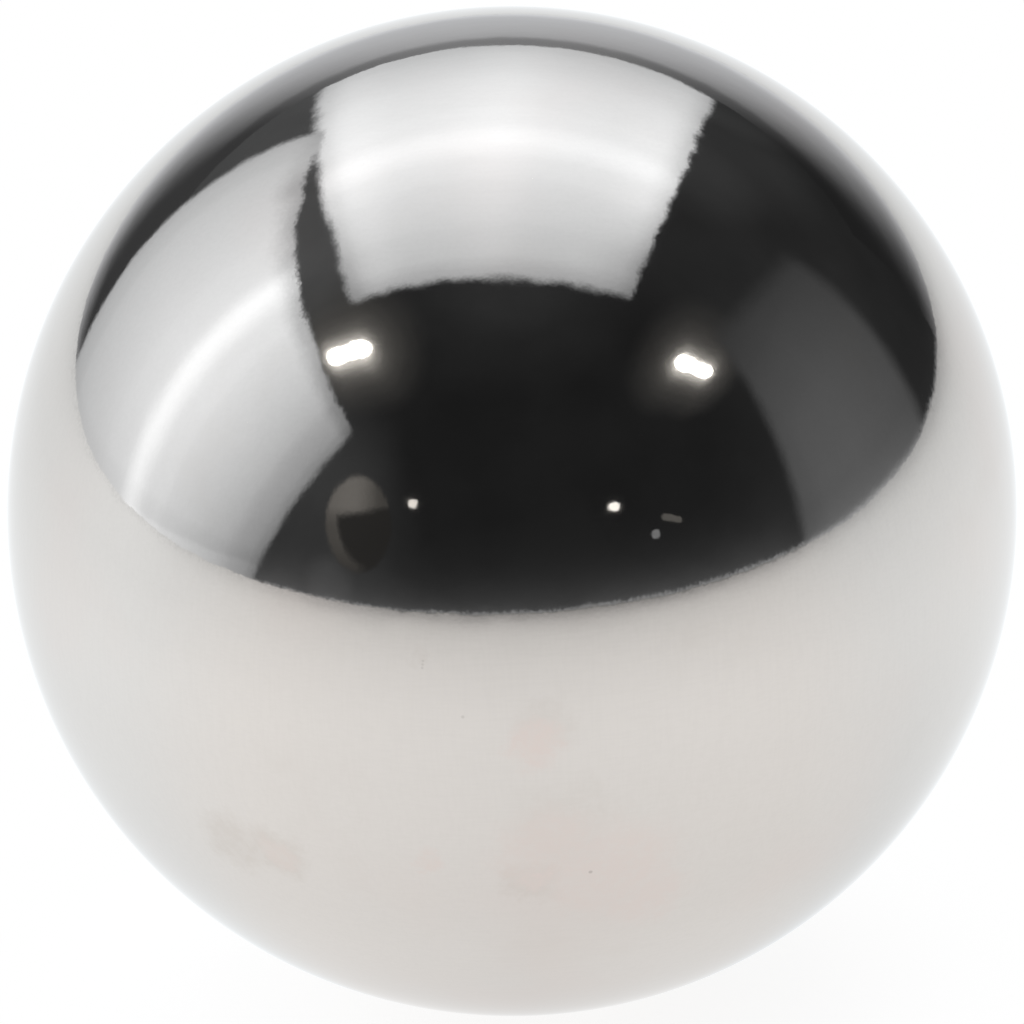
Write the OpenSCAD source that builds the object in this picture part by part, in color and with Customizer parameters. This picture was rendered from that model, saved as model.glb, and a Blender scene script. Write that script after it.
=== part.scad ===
// Solid steel ball, of the kind that runs in bearings, ball valves and ball transfer units.
// It is forged, ground, hardened and lapped as one piece, so it is one true sphere,
// with no flat, seam, bore or centre mark anywhere on it.
// Origin at the centre of the ball, +Z up, millimetres.

/* [Ball] */
// Diameter of the ball, the only size that a ball has
ball_d = 25.4; // [3:0.1:100]

/* [Preview] */
// Flat facets round the ball's equator when it is drawn as a mesh
facets = 180; // [48:12:360]

/* [Hidden] */
polished_steel = [0.67, 0.64, 0.61];

// The ball: every point of its surface is half of ball_d from the origin.
module ball() {
    color(polished_steel)
        sphere(d = ball_d, $fn = facets);
}

ball();
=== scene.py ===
# Looks of the polished steel ball: the lapped sphere itself, and the small photo studio that it mirrors.
import math

import bmesh
import bpy
from mathutils import Matrix, Vector


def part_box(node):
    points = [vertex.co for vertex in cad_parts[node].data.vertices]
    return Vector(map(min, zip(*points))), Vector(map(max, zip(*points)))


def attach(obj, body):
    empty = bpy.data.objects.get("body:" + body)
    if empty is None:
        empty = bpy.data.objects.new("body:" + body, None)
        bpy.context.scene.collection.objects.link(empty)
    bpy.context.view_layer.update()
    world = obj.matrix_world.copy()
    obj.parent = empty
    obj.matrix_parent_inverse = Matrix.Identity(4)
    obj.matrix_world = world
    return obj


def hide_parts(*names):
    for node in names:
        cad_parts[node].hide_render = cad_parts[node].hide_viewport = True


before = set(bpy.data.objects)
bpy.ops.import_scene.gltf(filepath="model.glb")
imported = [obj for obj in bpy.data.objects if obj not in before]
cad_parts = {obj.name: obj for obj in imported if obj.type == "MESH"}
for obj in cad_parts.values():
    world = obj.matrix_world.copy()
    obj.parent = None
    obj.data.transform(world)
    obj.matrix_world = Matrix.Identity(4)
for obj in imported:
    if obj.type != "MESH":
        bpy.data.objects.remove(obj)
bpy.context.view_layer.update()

# ---- The ball, from the frame -------------------------------------------------------------------
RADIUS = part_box("ball")[1].z  # the frame's origin is the ball's centre
FLOOR_Z = -RADIUS
FACES_ACROSS = 128  # quads along each side of the cube that is blown up into the sphere

# ---- The camera ---------------------------------------------------------------------------------
CAMERA_DISTANCE = 27.56 * RADIUS  # about a third of a metre, a close-up
CAMERA_ELEVATION = 23.0  # degrees
CAMERA_ROLL = -2.5  # degrees
OUTLINE_SHARE = 0.9865  # how much of the frame's width the ball's outline takes
FRAME_SHIFT = -0.0009  # the photograph's ball sits a touch above the middle
SENSOR = 36.0  # millimetres

# ---- The studio, in metres from the ball's centre -----------------------------------------------
FLOOR_REACH = 2.2
ROOM_REACH = 2.4
PANEL_DISTANCE = 1.0
SMALL_LIGHT_DISTANCE = 1.2  # and the reflector's

WHITE = (1.0, 1.0, 1.0)
COOL = (0.955, 1.0, 1.049)  # light of the softboxes
COOLER = (0.965, 1.0, 1.055)  # tint of the backdrop's painted light
WARM = (1.0, 0.985, 0.94)  # light of the small lamps
WARMER = (1.0, 0.975, 0.93)  # tint of the reflector's painted light


# ---- Helpers ------------------------------------------------------------------------------------
class Nodes:
    """Shorthand for a node tree. add returns the node that it adds, and the calls below it return outputs."""

    def __init__(self, tree):
        self.tree = tree
        tree.nodes.clear()

    def add(self, kind, inputs=None, **settings):
        node = self.tree.nodes.new(kind)
        for name, value in settings.items():
            setattr(node, name, value)
        for socket, value in (inputs or {}).items():
            if isinstance(value, bpy.types.NodeSocket):
                self.tree.links.new(value, node.inputs[socket])
            else:
                node.inputs[socket].default_value = value
        return node

    def math(self, operation, *values):
        return self.add("ShaderNodeMath", dict(enumerate(values)), operation=operation).outputs[0]

    def vector(self, operation, *values, output=0):
        return self.add("ShaderNodeVectorMath", dict(enumerate(values)), operation=operation).outputs[output]

    def total(self, *values):
        result = values[0]
        for value in values[1:]:
            result = self.math("ADD", result, value)
        return result

    def product(self, *values):
        result = values[0]
        for value in values[1:]:
            result = self.math("MULTIPLY", result, value)
        return result

    def difference(self, value, less):
        return self.math("SUBTRACT", value, less)

    def length(self, x, y):
        """How long the flat vector (x, y) is."""
        return self.math("SQRT", self.total(self.product(x, x), self.product(y, y)))

    def smooth(self, value, start, end, low=0.0, high=1.0):
        """low up to start, high from end on, and an S-curve between them. end may come before start."""
        inputs = {"Value": value, "From Min": start, "From Max": end, "To Min": low, "To Max": high}
        return self.add("ShaderNodeMapRange", inputs, interpolation_type="SMOOTHSTEP").outputs["Result"]

    def bell(self, value, centre, width):
        """A bell curve: 1 at the centre, and 1/e one width away from it."""
        offset = self.math("DIVIDE", self.difference(value, centre), width)
        return self.math("EXPONENT", self.product(offset, offset, -1.0))

    def within(self, value, low, high, soft):
        """1 between low and high, with edges that fade over soft."""
        half = soft / 2
        after_low = self.smooth(value, low - half, low + half)
        before_high = self.smooth(value, high + half, high - half)
        return self.product(after_low, before_high)

    def profile(self, value, *stops):
        """A smooth curve through (position, level) stops."""
        start, end = stops[0][0], stops[-1][0]
        top = max(level for _, level in stops)
        along = self.math("DIVIDE", self.difference(value, start), end - start)
        node = self.add("ShaderNodeValToRGB", {"Fac": along})
        ramp = node.color_ramp
        ramp.interpolation = "CARDINAL"
        while len(ramp.elements) < len(stops):
            ramp.elements.new(0.5)
        for element, (position, level) in zip(ramp.elements, stops):
            element.position = (position - start) / (end - start)
            element.color = (level / top, level / top, level / top, 1.0)
        return self.math("MULTIPLY", node.outputs["Color"], top)

    def noise(self, coordinates, scale, detail=2.0, roughness=0.5):
        inputs = {"Vector": coordinates, "Scale": scale, "Detail": detail, "Roughness": roughness}
        return self.add("ShaderNodeTexNoise", inputs).outputs["Fac"]

    def place(self):
        """The object's own coordinates, as one vector, and its x and y."""
        point = self.add("ShaderNodeTexCoord").outputs["Object"]
        x, y, _ = self.add("ShaderNodeSeparateXYZ", {"Vector": point}).outputs
        return point, x, y

    def colours(self, share, first, second):
        """The first colour where share is 0, and the second where it is 1."""
        return self.add("ShaderNodeMix", {0: share, 6: first, 7: second}, data_type="RGBA").outputs[2]

    def glow(self, level, colour=(*WHITE, 1.0)):
        return self.add("ShaderNodeEmission", {"Color": colour, "Strength": level}).outputs[0]

    def shaders(self, share, first, second):
        """The first shader where share is 0, and the second where it is 1."""
        return self.add("ShaderNodeMixShader", {0: share, 1: first, 2: second}).outputs[0]

    def both(self, first, second):
        """The light of two shaders, added."""
        return self.add("ShaderNodeAddShader", {0: first, 1: second}).outputs[0]

    def finish(self, shader):
        self.add("ShaderNodeOutputMaterial", {"Surface": shader})


def new_material(name):
    material = bpy.data.materials.new(name)
    material.use_nodes = True
    return material, Nodes(material.node_tree)


def new_object(name, data, matrix=Matrix.Identity(4)):
    made = bpy.data.objects.new(name, data)
    made.matrix_world = matrix
    bpy.context.scene.collection.objects.link(made)
    return made


def mesh_object(name, points, faces, material, matrix=Matrix.Identity(4)):
    mesh = bpy.data.meshes.new(name)
    mesh.from_pydata(points, [], faces)
    mesh.materials.append(material)
    return new_object(name, mesh, matrix)


def round_object(name, shape, material):
    """An object at the origin from a finished bmesh."""
    mesh = bpy.data.meshes.new(name)
    shape.to_mesh(mesh)
    shape.free()
    mesh.materials.append(material)
    return new_object(name, mesh)


def turned(degrees, axis):
    return Matrix.Rotation(math.radians(degrees), 4, axis)


def direction(azimuth, elevation):
    """The way from the ball's centre, in degrees: azimuth is from +Y towards +X."""
    turn = math.radians(azimuth)
    rise = math.radians(elevation)
    return Vector((math.sin(turn) * math.cos(rise), math.cos(turn) * math.cos(rise), math.sin(rise)))


# ---- The ball -----------------------------------------------------------------------------------
STEEL = (0.67, 0.64, 0.61)  # reflectance of the hardened steel, face on
EDGE_TINT = 0.93  # what is left of the shine where the surface turns away
GRAIN_HEIGHT = 0.3e-6  # metres, of the fine grain that lapping leaves
WAVE_HEIGHT = 2.8e-6  # metres, of the slight waviness

# Faint marks left by handling. Each has its azimuth from -Y towards +X and its elevation in degrees,
# its reach in ball radii, and its strength.
GREY_MARKS = (
    (-37.4, -21.0, 0.105, 0.9), (-30.8, -20.9, 0.085, 0.9), (0.4, -23.0, 0.080, 1.0),
    (5.0, -14.5, 0.15, 0.45), (2.6, -1.0, 0.08, 0.45), (-10.9, 6.5, 0.03, 0.4), (18.0, -23.0, 0.36, 0.22),
)
PINK_MARKS = (
    (1.4, -4.1, 0.068, 0.95), (3.0, -19.0, 0.16, 0.7), (9.5, -22.5, 0.19, 0.75), (14.1, -27.0, 0.12, 0.7),
    (-11.5, -20.1, 0.05, 0.75), (-30.6, -20.9, 0.050, 0.5), (0.6, -22.6, 0.055, 1.0),
)
# Tiny dark pits, each with its reach in ball radii and its depth of colour. The last three, in a row,
# make a short scratch.
PITS = (
    (-6.4, -0.1, 0.0045, 0.25), (7.5, -21.9, 0.0055, 0.42), (58, 20, 0.005, 0.4), (150, 35, 0.006, 0.5),
    (-120, -12, 0.005, 0.4), (95, -8, 0.005, 0.4),
    (-10.6, 6.4, 0.0035, 0.2), (-10.65, 6.0, 0.0035, 0.2), (-10.7, 5.6, 0.0035, 0.2),
)
# What each of these leaves of the steel's colour.
GREY_LEFT = (0.915, 0.90, 0.885)
PINK_LEFT = (1.01, 0.942, 0.93)
SCRATCHES_LEFT = (0.93, 0.93, 0.93)
PITTED = (0.30, 0.28, 0.26, 1.0)  # the colour down in a pit


def steel_times(left):
    """The steel's colour, less what a mark takes from it."""
    return (*(channel * share for channel, share in zip(STEEL, left)), 1.0)


def steel_material():
    material, nodes = new_material("polished_steel")
    point, _, _ = nodes.place()
    to_radii = {0: point, "Scale": 1.0 / RADIUS}
    on_ball = nodes.add("ShaderNodeVectorMath", to_radii, operation="SCALE").outputs[0]

    def from_mark(azimuth, elevation):
        return nodes.vector("DISTANCE", on_ball, direction(180.0 - azimuth, elevation), output=1)

    cloud = nodes.noise(on_ball, 16.0, detail=4.0, roughness=0.7)
    wander = nodes.product(nodes.difference(cloud, 0.5), 0.12)
    frayed = nodes.smooth(nodes.noise(on_ball, 38.0, detail=3.0, roughness=0.7), 0.36, 0.62)

    def marked(places):
        """How strongly the marks at these places show, with cloudy outlines and frayed insides."""
        most = 0.0
        for azimuth, elevation, reach, strength in places:
            apart = nodes.math("ADD", from_mark(azimuth, elevation), wander)
            mark = nodes.product(nodes.smooth(apart, reach, reach * 0.35), strength)
            most = nodes.math("MAXIMUM", most, mark)
        return nodes.product(most, nodes.smooth(frayed, 0.0, 1.0, 0.65, 1.0))

    def scratches(*stretch):
        along = nodes.vector("MULTIPLY", on_ball, stretch)
        return nodes.smooth(nodes.noise(along, 1.0, detail=1.5, roughness=0.6), 0.35, 0.70)

    # Handling also leaves faint clouds all over the ball, and lapping a fine weave of scratches.
    grey_noise = nodes.noise(on_ball, 2.6, detail=4.0, roughness=0.6)
    grey_cloud = nodes.smooth(grey_noise, 0.55, 0.80, 0.0, 0.45)
    pink_noise = nodes.noise(nodes.vector("ADD", on_ball, (3.0, 1.0, 2.0)), 2.2, detail=2.0)
    pink_cloud = nodes.smooth(pink_noise, 0.5, 0.8, 0.0, 0.35)
    grey = nodes.math("MAXIMUM", marked(GREY_MARKS), grey_cloud)
    pink = nodes.math("MAXIMUM", marked(PINK_MARKS), pink_cloud)
    weave = nodes.total(scratches(130.0, 130.0, 12.0), scratches(12.0, 90.0, 150.0))
    pits = 0.0
    for azimuth, elevation, reach, depth in PITS:
        pit = nodes.smooth(from_mark(azimuth, elevation), reach, reach * 0.4)
        pits = nodes.math("MAXIMUM", pits, nodes.product(pit, depth))

    colour = nodes.colours(nodes.product(weave, 0.16), (*STEEL, 1.0), steel_times(SCRATCHES_LEFT))
    colour = nodes.colours(grey, colour, steel_times(GREY_LEFT))
    colour = nodes.colours(pink, colour, steel_times(PINK_LEFT))
    colour = nodes.colours(pits, colour, PITTED)

    cloudy = nodes.smooth(cloud, 0.3, 0.75, 0.024, 0.042)
    roughness = nodes.total(cloudy, nodes.product(grey, 0.02), nodes.product(weave, 0.008))

    grain = nodes.product(nodes.noise(on_ball, 90.0, detail=1.0), GRAIN_HEIGHT)
    waviness = nodes.product(nodes.noise(on_ball, 14.0, detail=1.0, roughness=0.4), WAVE_HEIGHT)
    relief = {"Height": nodes.total(grain, waviness), "Strength": 1.0, "Distance": 1.0}
    bump = nodes.add("ShaderNodeBump", relief)
    steel = nodes.add("ShaderNodeBsdfPrincipled", {
        "Base Color": colour, "Metallic": 1.0, "Roughness": roughness,
        "Specular Tint": (EDGE_TINT, EDGE_TINT, EDGE_TINT, 1.0), "Normal": bump.outputs[0],
    })
    nodes.finish(steel.outputs[0])
    return material


def make_ball():
    """A cube of quads blown up into the true sphere, with all its quads nearly one size."""
    shape = bmesh.new()
    bmesh.ops.create_cube(shape, size=2.0)
    bmesh.ops.subdivide_edges(shape, edges=shape.edges[:], cuts=FACES_ACROSS - 1, use_grid_fill=True)
    for vertex in shape.verts:
        evened = Vector([math.tan(value * math.pi / 4) for value in vertex.co])
        vertex.co = evened.normalized() * RADIUS
    for face in shape.faces:
        face.smooth = True
    ball = round_object("polished_ball", shape, steel_material())
    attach(ball, "root")
    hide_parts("ball")
    return ball


# ---- The studio ---------------------------------------------------------------------------------
def glow_material(name, looks_of, colour):
    """A glowing surface. looks_of gives its brightness, and how much it covers what is behind it,
    or None where its light is added to that."""
    material, nodes = new_material(name)
    level, cover = looks_of(nodes)
    glow = nodes.glow(level, (*colour, 1.0))
    clear = nodes.add("ShaderNodeBsdfTransparent").outputs[0]
    nodes.finish(nodes.both(clear, glow) if cover is None else nodes.shaders(cover, clear, glow))
    material.cycles.emission_sampling = "NONE"
    return material


def panel(name, left, right, bottom, top, where, looks_of, colour):
    """A flat glowing rectangle, given by its edges in its own x and y."""
    corners = [(left, bottom, 0.0), (right, bottom, 0.0), (right, top, 0.0), (left, top, 0.0)]
    material = glow_material(name + "_glow", looks_of, colour)
    return mesh_object(name, corners, [(0, 1, 2, 3)], material, where)


def standing(azimuth, distance, yaw=0.0, lean=0.0, roll=0.0):
    """Where a panel stands: azimuth is from +Y towards +X, and lean tips its top over the ball.
    Its local x runs across it, y up it, and z out of its front."""
    out = Matrix.Translation((0.0, distance, 0.0))
    return turned(-azimuth, "Z") @ out @ turned(-yaw, "Z") @ turned(90.0 + lean, "X") @ turned(roll, "Z")


def facing(azimuth, elevation, distance, roll=0.0):
    """Where a thing hangs that faces the ball, seen from it at this azimuth and elevation."""
    out = Matrix.Translation((0.0, distance, 0.0))
    return turned(-azimuth, "Z") @ turned(elevation, "X") @ out @ turned(90.0, "X") @ turned(roll, "Z")


def uneven_edge(nodes, point):
    """How far a softbox's cloth edge wanders, in metres: slowly, and with a fine fringe."""
    slow = nodes.smooth(nodes.noise(point, 9.0, detail=2.0), 0.2, 0.8, -0.010, 0.010)
    fringe = nodes.smooth(nodes.noise(point, 100.0, detail=3.0, roughness=0.65), 0.2, 0.8, -0.008, 0.008)
    return nodes.total(slow, fringe)


def left_softbox():
    """It leans over the ball from the left. Across runs from its front end to its back end."""

    def looks(nodes):
        point, across, up = nodes.place()
        sides = nodes.profile(
            across, (-0.90, 0.34), (-0.80, 0.46), (-0.60, 0.70), (-0.20, 1.15), (-0.08, 1.30),
            (0.0, 1.62), (0.06, 1.27), (0.20, 1.11), (0.50, 0.88), (0.60, 0.75), (0.65, 0.68),
        )
        height = nodes.profile(
            up, (-0.15, 0.92), (0.0, 0.90), (0.01, 0.86), (0.025, 0.79),
            (0.10, 0.86), (0.40, 0.97), (0.70, 0.98), (0.90, 0.94),
        )
        hem = nodes.profile(
            across, (-0.90, 0.862), (-0.70, 0.846), (-0.50, 0.841), (-0.30, 0.832), (0.05, 0.820),
            (0.30, 0.830), (0.37, 0.821), (0.43, 0.823), (0.48, 0.831), (0.54, 0.838), (0.65, 0.824),
        )
        ragged = uneven_edge(nodes, point)
        under_hem = nodes.total(hem, nodes.product(up, -1.0), ragged)
        at_hem = nodes.smooth(across, 0.35, 0.5, 0.62, 0.85)
        dimmed = nodes.smooth(under_hem, 0.0, 0.095, at_hem, 1.0)

        past_front = nodes.smooth(across, -0.93, -0.85)
        before_back = nodes.smooth(nodes.math("MULTIPLY_ADD", ragged, 0.7, across), 0.664, 0.628)
        from_front = nodes.math("ADD", across, 0.93)
        from_hem = nodes.math("ADD", under_hem, 0.04)
        rounded = nodes.smooth(nodes.math("SMOOTH_MIN", from_front, from_hem, 0.2), 0.0, 0.03)
        below_hem = nodes.smooth(under_hem, -0.010, 0.012)
        cover = nodes.product(past_front, before_back, rounded, below_hem)
        return nodes.product(sides, height, dimmed), cover

    where = standing(-82.5, PANEL_DISTANCE, yaw=11.1, lean=32.6, roll=-5.56)
    return panel("left_softbox", -0.92, 0.67, -0.2, 0.92, where, looks, COOL)


def top_softbox():
    """It hangs overhead and droops towards the back, where along is largest."""
    half_width = 0.62
    front_end = -0.06
    length = 1.78
    strips = 24

    def looks(nodes):
        point, across, along = nodes.place()
        sides = nodes.profile(
            across, (-0.58, 0.74), (-0.50, 0.93), (-0.44, 1.03), (-0.30, 0.96), (-0.15, 0.97), (0.0, 1.03),
            (0.12, 0.96), (0.30, 0.93), (0.44, 0.97), (0.487, 0.93), (0.525, 0.80), (0.56, 0.68),
        )
        run = nodes.profile(
            along, (-0.04, 0.55), (0.05, 0.70), (0.10, 0.84), (0.25, 1.0), (0.45, 1.20), (0.58, 1.36),
            (0.64, 1.50), (0.70, 1.54), (0.78, 1.40), (0.90, 1.33), (1.20, 1.15), (1.50, 0.92), (1.70, 0.80),
        )
        off_centre = nodes.math("ABSOLUTE", nodes.difference(across, -0.05))
        corner = nodes.product(nodes.smooth(off_centre, 0.32, 0.62), nodes.smooth(along, 0.5, 0.1), 0.36)
        level = nodes.product(sides, run, nodes.difference(1.0, corner))

        to_left = nodes.profile(along, (0.0, 0.562), (0.3, 0.557), (0.6, 0.562), (1.1, 0.556), (1.7, 0.546))
        to_right = nodes.profile(along, (0.0, 0.5435), (0.3, 0.549), (0.6, 0.562), (0.9, 0.566), (1.7, 0.547))
        ragged = uneven_edge(nodes, point)
        past_left = nodes.smooth(nodes.total(across, to_left, ragged), -0.025, 0.025)
        from_right = nodes.difference(nodes.math("ADD", to_right, ragged), across)
        before_right = nodes.smooth(from_right, -0.014, 0.014)
        dent = nodes.product(nodes.bell(across, -0.35, 0.15), -0.008)
        front_to_back = nodes.within(nodes.total(along, ragged, dent), -0.005, 1.65, 0.055)
        return level, nodes.product(past_left, before_right, front_to_back)

    points = []
    for row in range(strips + 1):
        along = front_end + length * row / strips
        sag = 0.046 * along + 0.103 * along * along
        points += [(-half_width, along, -sag), (half_width, along, -sag)]
    faces = [(2 * row, 2 * row + 1, 2 * row + 3, 2 * row + 2) for row in range(strips)]
    where = Matrix.Translation((-0.0375, -0.2275, PANEL_DISTANCE)) @ turned(-4.0, "Z")
    return mesh_object("top_softbox", points, faces, glow_material("top_softbox_glow", looks, COOL), where)


def backdrop():
    """A low glowing backdrop behind the bench. Its painted light is brightest in the middle and at its foot,
    with painted shade to the sides that is lighter on the left.
    """

    def looks(nodes):
        _, across, up = nodes.place()
        # Painted light: bright at the foot, dimmer up the backdrop.
        rise = nodes.profile(
            up, (-0.02, 0.97), (0.02, 0.85), (0.06, 0.70), (0.12, 0.65), (0.20, 0.62),
            (0.30, 0.56), (0.35, 0.49), (0.38, 0.33), (0.41, 0.28), (0.46, 0.27),
        )
        left = nodes.profile(
            up, (-0.02, 1.2), (0.02, 0.95), (0.04, 0.80), (0.10, 0.58), (0.20, 0.45), (0.46, 0.38),
        )
        right = nodes.profile(
            up, (-0.02, 0.9), (0.02, 0.80), (0.04, 0.75), (0.10, 0.64), (0.20, 0.57), (0.46, 0.44),
        )
        on_right = nodes.smooth(across, -0.1, 0.1)
        width = nodes.math("ADD", left, nodes.product(on_right, nodes.difference(right, left)))
        off_centre = nodes.math("DIVIDE", nodes.math("ABSOLUTE", across), width)
        fall = nodes.math("EXPONENT", nodes.product(nodes.math("POWER", off_centre, 2.4), -1.0))
        lit = nodes.math("MULTIPLY_ADD", rise, fall, 0.012)
        # Painted shade: the dim level away from the middle, lighter on the left.
        unlit = nodes.smooth(across, 0.1, -0.1, 0.018, 0.056)
        return nodes.math("SMOOTH_MAX", lit, unlit, 0.03), 1.0

    return panel("backdrop", -1.1, 1.1, -0.05, 0.46, standing(0.0, PANEL_DISTANCE), looks, COOLER)


def side_card():
    """A dim grey card that leans over the ball from the right. It glows with painted light that is brightest
    at its foot.
    """

    def looks(nodes):
        _, across, up = nodes.place()
        # Painted light on the card, fading from its foot up.
        height = nodes.profile(
            up, (-0.01, 0.50), (0.0, 0.42), (0.009, 0.29), (0.018, 0.22), (0.03, 0.185), (0.05, 0.17),
            (0.10, 0.15), (0.20, 0.142), (0.40, 0.118), (0.60, 0.080), (0.90, 0.040),
        )
        sides = nodes.profile(
            across, (-0.45, 0.55), (-0.30, 0.73), (0.0, 0.96), (0.20, 1.0), (0.30, 0.92), (0.50, 0.7),
        )
        left_edge = nodes.smooth(nodes.math("MULTIPLY_ADD", up, -0.12, across), -0.425, -0.325)
        to_right_edge = nodes.difference(nodes.math("MULTIPLY_ADD", up, -0.248, 0.449), across)
        to_top_edge = nodes.difference(nodes.math("MULTIPLY_ADD", across, 0.29, 0.705), up)
        right_edge = nodes.smooth(to_right_edge, -0.04, 0.04)
        top_edge = nodes.smooth(to_top_edge, -0.05, 0.06)
        return nodes.product(sides, height), nodes.product(left_edge, right_edge, top_edge)

    where = standing(88.0, PANEL_DISTANCE, lean=20.0)
    return panel("side_card", -0.45, 0.55, -0.05, 0.95, where, looks, COOL)


def twin_lamp(name, centre, half_length, halo, turn):
    """Two bright bulbs side by side, overhead and facing down, and the glow round them."""
    core = 0.0495  # half of a bulb's width
    reach = 0.47  # how far the glow goes
    bulb_level = 12.0

    def looks(nodes):
        _, across, along = nodes.place()
        sideways = nodes.math("ABSOLUTE", across)
        past_end = nodes.math("MAXIMUM", nodes.difference(sideways, half_length), 0.0)
        waist = nodes.smooth(sideways, 0.0, half_length, 0.86, 1.0)
        apart = nodes.math("DIVIDE", nodes.length(past_end, along), waist)
        bulbs = nodes.smooth(apart, core * 1.12, core * 0.95, 0.0, bulb_level)

        lower = nodes.math("ADD", along, 0.012)
        endways = nodes.product(past_end, past_end, 1.4)
        spread = nodes.math("SQRT", nodes.total(endways, nodes.product(lower, lower, 0.75)))
        glow = nodes.profile(
            spread, (0.0, 0.80), (0.06, 0.62), (0.08, 0.38), (0.10, 0.24), (0.12, 0.14), (0.15, 0.085),
            (0.19, 0.052), (0.25, 0.028), (0.32, 0.011), (0.40, 0.0),
        )
        return nodes.total(nodes.product(glow, halo), bulbs), None

    side = half_length + reach
    where = Matrix.Translation(centre) @ turned(turn, "Z")
    lamp = panel(name, -side, side, -reach, reach, where, looks, WARM)
    lamp.visible_diffuse = False
    return lamp


def small_light(name, azimuth, elevation, width, height, level, colour=WARM, roll=0.0):
    """A small round-cornered light in the dark part of the studio."""
    squareness = 3.0  # 2 makes an ellipse, and more a squarer outline
    margin = 1.2  # its panel leaves room for its soft edge

    def looks(nodes):
        _, across, up = nodes.place()
        wide = nodes.math("POWER", nodes.math("ABSOLUTE", nodes.product(across, 2 / width)), squareness)
        tall = nodes.math("POWER", nodes.math("ABSOLUTE", nodes.product(up, 2 / height)), squareness)
        return level, nodes.smooth(nodes.total(wide, tall), 1.2, 0.8)

    side = width / 2 * margin
    rise = height / 2 * margin
    where = facing(azimuth, elevation, SMALL_LIGHT_DISTANCE, roll)
    light = panel(name, -side, side, -rise, rise, where, looks, colour)
    light.visible_diffuse = False
    return light


def reflector():
    """A dim oval reflector beyond the front left of the bench: its top and one side are painted as catching
    the light, and the rest glows dimly as painted shade.
    """
    half_width = 0.157
    half_height = 0.212
    # Glow and cover of the painted shade on the parts that are not painted lit.
    unlit_level = 0.026
    unlit_cover = 0.8

    def inside(nodes, across, up):
        apart = nodes.length(nodes.product(across, 1 / half_width), nodes.product(up, 1 / half_height))
        return nodes.smooth(apart, 1.08, 0.93)

    def looks(nodes):
        _, across, up = nodes.place()
        oval = inside(nodes, across, up)
        top = nodes.smooth(nodes.math("MULTIPLY_ADD", across, 0.135, up), 0.030, 0.066)
        hollow = inside(nodes, nodes.math("ADD", across, 0.055), nodes.math("ADD", up, -0.02))
        side = nodes.product(nodes.difference(1.0, hollow), nodes.smooth(across, -0.04, 0.02))
        sideways = nodes.profile(
            across, (-half_width, 0.07), (-0.09, 0.09), (-0.02, 0.16), (0.04, 0.19), (half_width, 0.165),
        )
        upwards = nodes.profile(
            up, (-half_height, 0.30), (-0.10, 0.48), (0.0, 0.57), (0.04, 0.75), (0.08, 1.0),
            (half_height, 1.0),
        )
        # Painted highlight on the top and one side, and painted shade on the rest.
        lit = nodes.math("MAXIMUM", top, side)
        unlit = nodes.smooth(lit, 1.0, 0.0, 0.0, unlit_level)
        level = nodes.total(nodes.product(sideways, upwards, lit), unlit)
        return level, nodes.product(oval, nodes.math("MAXIMUM", lit, unlit_cover))

    where = facing(-143.3, 17.5, SMALL_LIGHT_DISTANCE, roll=-10.5)
    return panel("reflector", -0.18, 0.18, -0.24, 0.24, where, looks, WARMER)


def room():
    """The dark studio round it all: a faintly glowing dome with a painted haze of light near the softboxes
    and low in front, and a painted pale band along the bench's edge.
    """
    base = 0.017
    # Each patch of painted haze has its azimuth, elevation and reach in degrees, and its brightness.
    haze = (
        (-63, 52, 30, 0.085), (-25, 30, 26, 0.083), (-125, 12, 35, 0.027), (32, 40, 24, 0.022),
        (90, 12, 40, 0.010), (180, 76, 30, 0.011), (180, 77, 17, 0.010), (60, 42, 50, 0.010),
        (51, 47, 13, 0.012), (28, 25, 8, 0.016), (-132, 28, 20, 0.010), (-138, 4, 7, 0.024),
    )

    def looks(nodes):
        point, _, _ = nodes.place()
        way = nodes.vector("NORMALIZE", point)
        level = base
        for azimuth, elevation, reach, brightness in haze:
            along = nodes.vector("DOT_PRODUCT", way, direction(azimuth, elevation), output=1)
            patch = nodes.smooth(along, math.cos(math.radians(reach)), 1.0, 0.0, brightness)
            level = nodes.math("ADD", level, patch)
        up = nodes.add("ShaderNodeSeparateXYZ", {"Vector": way}).outputs[2]
        front = nodes.vector("DOT_PRODUCT", way, direction(180, 0), output=1)
        low = nodes.math("EXPONENT", nodes.product(nodes.math("MAXIMUM", up, 0.0), -13.0))
        # Painted haze of light low in front.
        band = nodes.product(low, nodes.smooth(front, 0.2, 0.65, 0.015, 0.080))
        hairs = nodes.noise(nodes.vector("MULTIPLY", way, (130.0, 130.0, 60.0)), 1.0, detail=3.0)
        ragged = nodes.math("ADD", up, nodes.smooth(hairs, 0.2, 0.8, -0.009, 0.009))
        # Painted pale band of light along the bench's far edge.
        bench_edge = nodes.smooth(ragged, 0.015, -0.001, 0.0, 0.23)
        uneven = nodes.smooth(nodes.noise(way, 3.0, detail=3.0), 0.3, 0.7, 0.9, 1.1)
        return nodes.product(nodes.total(level, band, bench_edge), uneven), 1.0

    shape = bmesh.new()
    bmesh.ops.create_icosphere(shape, subdivisions=4, radius=ROOM_REACH)
    made = round_object("room", shape, glow_material("room_glow", looks, COOL))
    made.visible_diffuse = False
    made.visible_shadow = False
    return made


def floor_as_seen(nodes, reach):
    """White, and part matt under the ball so that it holds the ball's shadow."""
    grey = 0.36
    own_light = 0.78
    matt = nodes.add("ShaderNodeBsdfDiffuse", {"Color": (grey, grey, grey, 1.0)}).outputs[0]
    near = nodes.both(nodes.glow(own_light), matt)
    away = nodes.smooth(reach, 0.25 * RADIUS, 1.1 * RADIUS)
    return nodes.shaders(away, near, nodes.glow(1.0))


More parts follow.
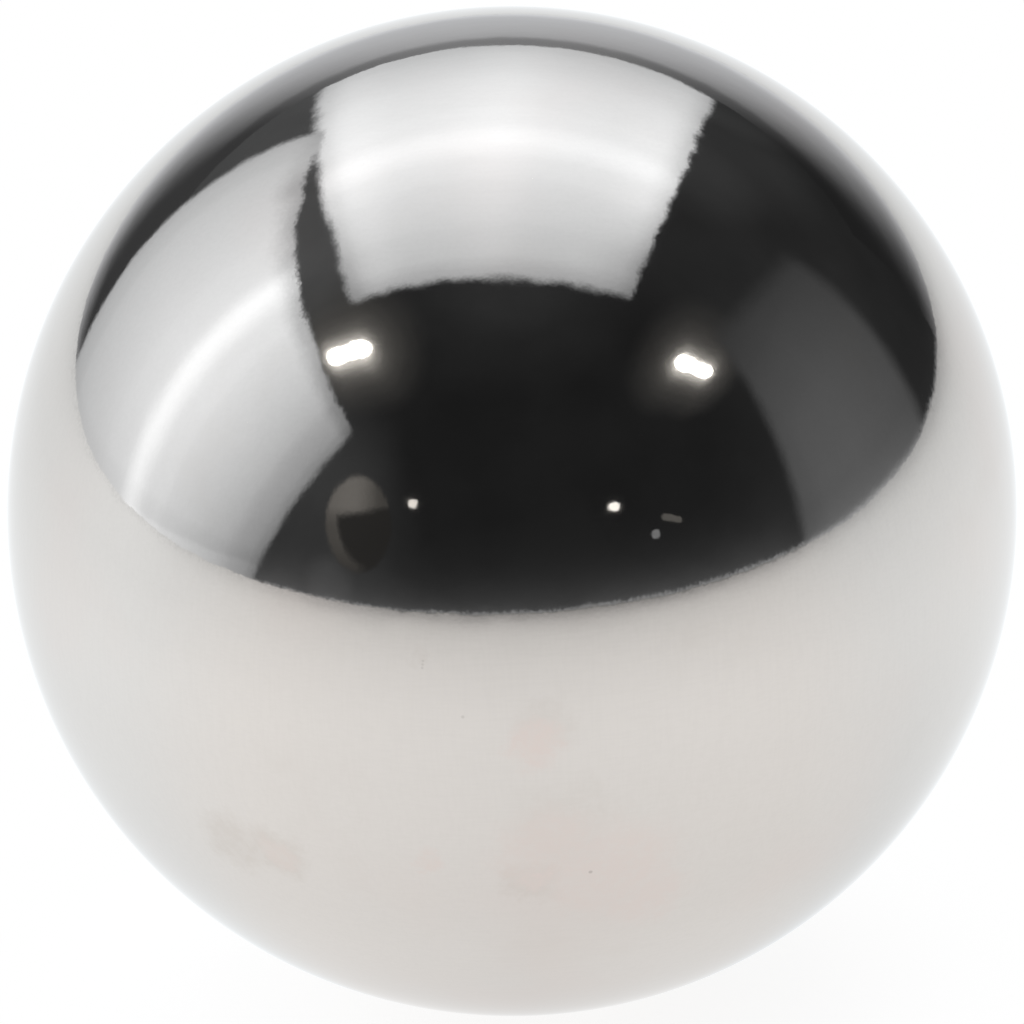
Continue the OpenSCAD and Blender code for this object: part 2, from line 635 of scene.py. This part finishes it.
def floor_as_mirrored(nodes, point, reach, x, y):
    """What the steel sees of the floor: a glow whose painted light falls off with distance, least towards the
    left softbox, with painted shade close under the ball, and a tint that is cool but for the front.
    """
    half_fade = 0.33  # metres out, where half of the fall-off is reached
    azimuth = nodes.math("DEGREES", nodes.math("ARCTAN2", x, y))
    # Painted shade: how much of the light is lost far out, by azimuth.
    unlit = nodes.profile(
        azimuth, (-180, 0.70), (-140, 0.57), (-100, 0.19), (-80, 0.0), (-40, 0.20), (0, 0.14), (20, 0.27),
        (50, 0.60), (90, 0.48), (120, 0.62), (150, 0.74), (180, 0.70),
    )
    fade = nodes.math("POWER", nodes.math("DIVIDE", reach, half_fade), 1.3)
    fade = nodes.math("DIVIDE", fade, nodes.math("ADD", fade, 1.0))
    lit = nodes.difference(1.0, nodes.product(unlit, fade))
    # Painted light: how bright the floor is, by azimuth.
    base = nodes.profile(
        azimuth, (-180, 0.99), (-140, 1.04), (-90, 1.08), (-50, 1.055), (-30, 1.07), (30, 1.07), (60, 1.08),
        (90, 1.02), (120, 1.01), (150, 1.015), (180, 0.99),
    )
    hairs = nodes.noise(nodes.vector("NORMALIZE", point), 130.0, detail=3.0)
    uneven_reach = nodes.product(reach, nodes.smooth(hairs, 0.2, 0.8, 0.75, 1.25))
    # Painted shade towards the floor's far edge.
    outer = nodes.smooth(uneven_reach, 0.7, 1.6, 1.0, 0.62)
    # Painted contact shade close under the ball, and painted light a little brighter two to four radii out.
    near = nodes.profile(
        nodes.product(reach, 1.0 / RADIUS), (0.0, 0.94), (0.4, 0.95), (0.7, 0.985), (1.0, 0.985),
        (1.4, 1.015), (2.0, 1.04), (2.8, 1.055), (4.0, 1.035), (8.0, 1.0),
    )
    to_back = nodes.math("COSINE", nodes.math("RADIANS", azimuth))
    colour = nodes.colours(nodes.smooth(to_back, -0.7, 0.0), (*WHITE, 1.0), (0.970, 1.0, 1.022, 1.0))
    return nodes.glow(nodes.product(base, lit, outer, near), colour)


def floor_material():
    material, nodes = new_material("pale_floor")
    point, x, y = nodes.place()
    reach = nodes.length(x, y)
    seen = floor_as_seen(nodes, reach)
    # In the steel the floor shows painted light and shade, not lamplight falling on it.
    mirrored = floor_as_mirrored(nodes, point, reach, x, y)
    rays = nodes.add("ShaderNodeLightPath").outputs
    in_steel = nodes.math("MAXIMUM", rays["Is Glossy Ray"], rays["Is Transmission Ray"])
    nodes.finish(nodes.shaders(in_steel, seen, mirrored))
    material.cycles.emission_sampling = "NONE"
    return material


def floor():
    """A round white sheet on the bench, whose edge curves up, and most at the back left."""
    sides = 96
    rings = ((0.70, 0.0), (0.85, 0.006), (1.0, 0.0155), (1.5, 0.0185), (FLOOR_REACH, 0.024))  # reach, rise
    back_left = math.radians(135.0)
    points = []
    for reach, rise in rings:
        for side in range(sides):
            angle = 2 * math.pi * side / sides
            lift = rise * (1 + 0.6 * math.cos(angle - back_left))
            points.append((math.cos(angle) * reach, math.sin(angle) * reach, FLOOR_Z + lift))
    faces = [tuple(range(sides))]
    for ring in range(len(rings) - 1):
        for side in range(sides):
            here = ring * sides + side
            there = ring * sides + (side + 1) % sides
            faces.append((here, here + sides, there + sides, there))
    made = mesh_object("floor", points, faces, floor_material())
    return made


def white_world():
    """White to the camera and in the steel, and a plain soft light on anything matt."""
    world = bpy.data.worlds.new("world")
    bpy.context.scene.world = world
    world.use_nodes = True
    nodes = Nodes(world.node_tree)
    rays = nodes.add("ShaderNodeLightPath").outputs
    shown = nodes.math("MAXIMUM", rays["Is Camera Ray"], rays["Is Glossy Ray"])
    shown = nodes.math("MAXIMUM", shown, rays["Is Transmission Ray"])
    strength = nodes.smooth(shown, 0.0, 1.0, 0.5, 1.0)
    sky = nodes.add("ShaderNodeBackground", {"Color": (*WHITE, 1.0), "Strength": strength})
    nodes.add("ShaderNodeOutputWorld", {"Surface": sky.outputs[0]})
    world.cycles.sampling_method = "NONE"


def make_studio():
    floor()
    seen_in_steel = (
        left_softbox(),
        top_softbox(),
        backdrop(),
        side_card(),
        twin_lamp("lamp_left", (-0.712, -0.438, 1.0), 0.075, halo=1.1, turn=-4.5),
        twin_lamp("lamp_right", (0.987, -0.541, 1.0), 0.092, halo=0.9, turn=-3.0),
        small_light("front_light_left", -155.8, 23.7, 0.041, 0.043, 1.15),
        small_light("front_light_right", 155.4, 21.1, 0.055, 0.041, 1.6, roll=24.0),
        small_light("far_light", 147.0, 13.05, 0.036, 0.036, 0.25, COOL),
        small_light("far_strip", 142.4, 15.5, 0.105, 0.034, 0.125, roll=28.0),
        reflector(),
        room(),
    )
    for piece in seen_in_steel:
        piece.visible_camera = False
    white_world()


# ---- The camera ---------------------------------------------------------------------------------
def make_camera():
    """Looks along +Y and down at the ball, whose outline nearly fills the frame."""
    half_outline = math.tan(math.asin(RADIUS / CAMERA_DISTANCE))
    camera = bpy.data.cameras.new("camera")
    camera.sensor_width = SENSOR
    camera.lens = SENSOR / 2 * OUTLINE_SHARE / half_outline
    camera.clip_start = CAMERA_DISTANCE / 10
    camera.clip_end = 4 * FLOOR_REACH
    camera.shift_y = FRAME_SHIFT
    back = Matrix.Translation((0.0, 0.0, CAMERA_DISTANCE))
    where = turned(90.0 - CAMERA_ELEVATION, "X") @ turned(CAMERA_ROLL, "Z") @ back
    bpy.context.scene.camera = new_object("camera", camera, where)


bpy.context.scene.view_settings.view_transform = "Standard"
make_camera()
make_ball()
make_studio()
